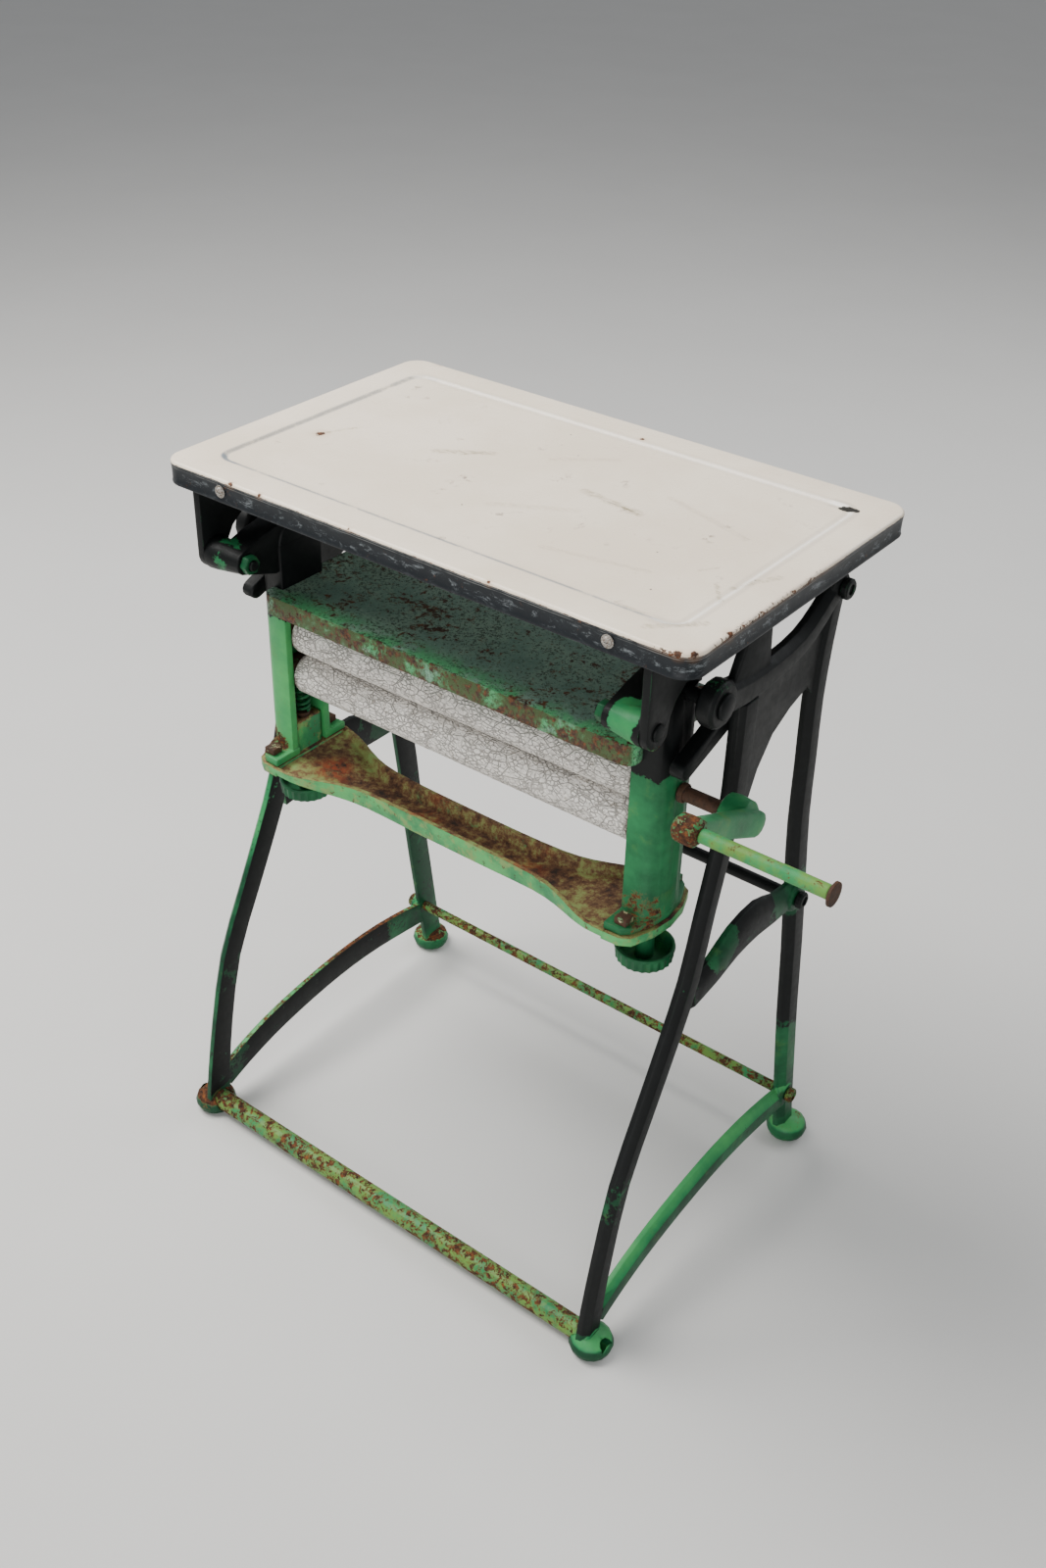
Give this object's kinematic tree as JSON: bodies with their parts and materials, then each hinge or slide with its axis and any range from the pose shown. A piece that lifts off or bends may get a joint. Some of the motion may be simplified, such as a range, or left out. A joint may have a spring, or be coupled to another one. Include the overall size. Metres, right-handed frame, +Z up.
{
  "type": "kitchen wringer table",
  "caption": "Enamel-topped kitchen table on a cast-iron stand, with a hand-cranked clothes wringer stowed under the top that swings up in front of it.",
  "frame": {"origin": "middle of the bounding box, on the floor under the feet", "axes": "+X towards the crank side, +Y towards the back, +Z up"},
  "size_m": [0.765, 0.446, 0.814],
  "materials": {
    "black_paint": "worn black paint over green, on cast iron",
    "green_paint": "worn green paint with rust",
    "enamel": "cream vitreous enamel on steel with a dark rim",
    "screw_steel": "dull, slightly rusty",
    "rusty_iron": "rusty",
    "roller_rubber": "aged, finely cracked"
  },
  "bodies": {
    "stand": {"left_end_frame": "black_paint", "right_end_frame": "black_paint", "left_stop_arm": "black_paint", "right_stop_arm": "black_paint", "left_swing_pin": "black_paint", "right_swing_pin": "black_paint", "left_rear_bottom_nut": "green_paint", "right_rear_bottom_nut": "green_paint", "left_middle_nut": "black_paint", "right_middle_nut": "black_paint", "left_top_rear_nut": "black_paint", "right_top_rear_nut": "black_paint", "front_bottom_tube": "green_paint", "rear_bottom_rod": "green_paint", "middle_rod": "black_paint", "top_rear_rod": "black_paint"},
    "table": {"enamel_table_top": "enamel", "left_table_bracket": "black_paint", "right_table_bracket": "black_paint", "left_rim_screw": "screw_steel", "right_rim_screw": "screw_steel"},
    "wringer": {"left_post": "green_paint", "right_post": "green_paint", "left_front_post_bolt": "rusty_iron", "right_front_post_bolt": "rusty_iron", "left_rear_post_bolt": "rusty_iron", "right_rear_post_bolt": "rusty_iron", "left_carry_bolt": "rusty_iron", "right_carry_bolt": "rusty_iron", "left_carry_nut": "green_paint", "right_carry_nut": "green_paint", "left_driven_bearing": "rusty_iron", "right_driven_bearing": "rusty_iron", "left_pressure_spring": "green_paint", "right_pressure_spring": "green_paint", "water_tray": "green_paint", "cross_bar": "green_paint"},
    "crank": {"driven_shaft": "rusty_iron", "driven_rubber": "roller_rubber", "shaft_collar": "rusty_iron", "crank_arm": "green_paint", "crank_pin": "rusty_iron"},
    "grip": {"handle_grip": "green_paint"},
    "roller_carriage": {"left_sprung_bearing": "rusty_iron", "right_sprung_bearing": "rusty_iron"},
    "sprung_roller": {"sprung_shaft": "rusty_iron", "sprung_rubber": "roller_rubber"},
    "left_seat": {"left_spring_seat": "rusty_iron"},
    "right_seat": {"right_spring_seat": "rusty_iron"},
    "left_screw": {"left_hand_screw": "rusty_iron", "left_hand_wheel": "green_paint"},
    "right_screw": {"right_hand_screw": "rusty_iron", "right_hand_wheel": "green_paint"}
  },
  "joints": [
    {"name": "wringer_swing", "type": "hinge", "parent": "stand", "child": "wringer", "pos_m": [-0.0775, -0.068, 0.722], "axis": [-1, 0, 0], "range_deg": [0, 180]},
    {"name": "table_level", "type": "hinge", "parent": "wringer", "child": "table", "pos_m": [-0.0775, -0.14, 0.722], "axis": [-1, 0, 0], "range_deg": [-180, 0]},
    {"name": "crank_turn", "type": "hinge", "parent": "wringer", "child": "crank", "pos_m": [-0.0775, -0.068, 0.619], "axis": [1, 0, 0], "continuous": true},
    {"name": "handle_grip_spin", "type": "hinge", "parent": "crank", "child": "grip", "pos_m": [0.3225, -0.17604, 0.67007], "axis": [1, 0, 0], "continuous": true},
    {"name": "sprung_roller_lift", "type": "slide", "parent": "wringer", "child": "roller_carriage", "axis": [0, 0, -1], "range_m": [0, 0.004], "stiffness_N_per_m": 20000, "springref_m": -0.002, "deforming": ["left_pressure_spring", "right_pressure_spring"]},
    {"name": "sprung_roller_spin", "type": "hinge", "parent": "roller_carriage", "child": "sprung_roller", "pos_m": [-0.0775, -0.068, 0.5712], "axis": [1, 0, 0], "continuous": true},
    {"name": "left_pressure", "type": "slide", "parent": "wringer", "child": "left_seat", "axis": [0, 0, 1], "range_m": [0, 0.0091], "deforming": ["left_pressure_spring"]},
    {"name": "left_screw_turn", "type": "hinge", "parent": "left_seat", "child": "left_screw", "pos_m": [-0.3035, -0.068, 0.414], "axis": [0, 0, 1], "range_deg": [0, 1080]},
    {"name": "right_pressure", "type": "slide", "parent": "wringer", "child": "right_seat", "axis": [0, 0, 1], "range_m": [0, 0.0091], "deforming": ["right_pressure_spring"]},
    {"name": "right_screw_turn", "type": "hinge", "parent": "right_seat", "child": "right_screw", "pos_m": [0.1485, -0.068, 0.414], "axis": [0, 0, 1], "range_deg": [0, 1080]}
  ],
  "couplings": [
    {"joint": "table_level", "follows": "wringer_swing", "ratio": -1},
    {"joint": "sprung_roller_spin", "follows": "crank_turn", "ratio": -1},
    {"joint": "left_pressure", "follows": "left_screw_turn", "m_per_rad": 0.00047746},
    {"joint": "right_pressure", "follows": "right_screw_turn", "m_per_rad": 0.00047746}
  ]
}
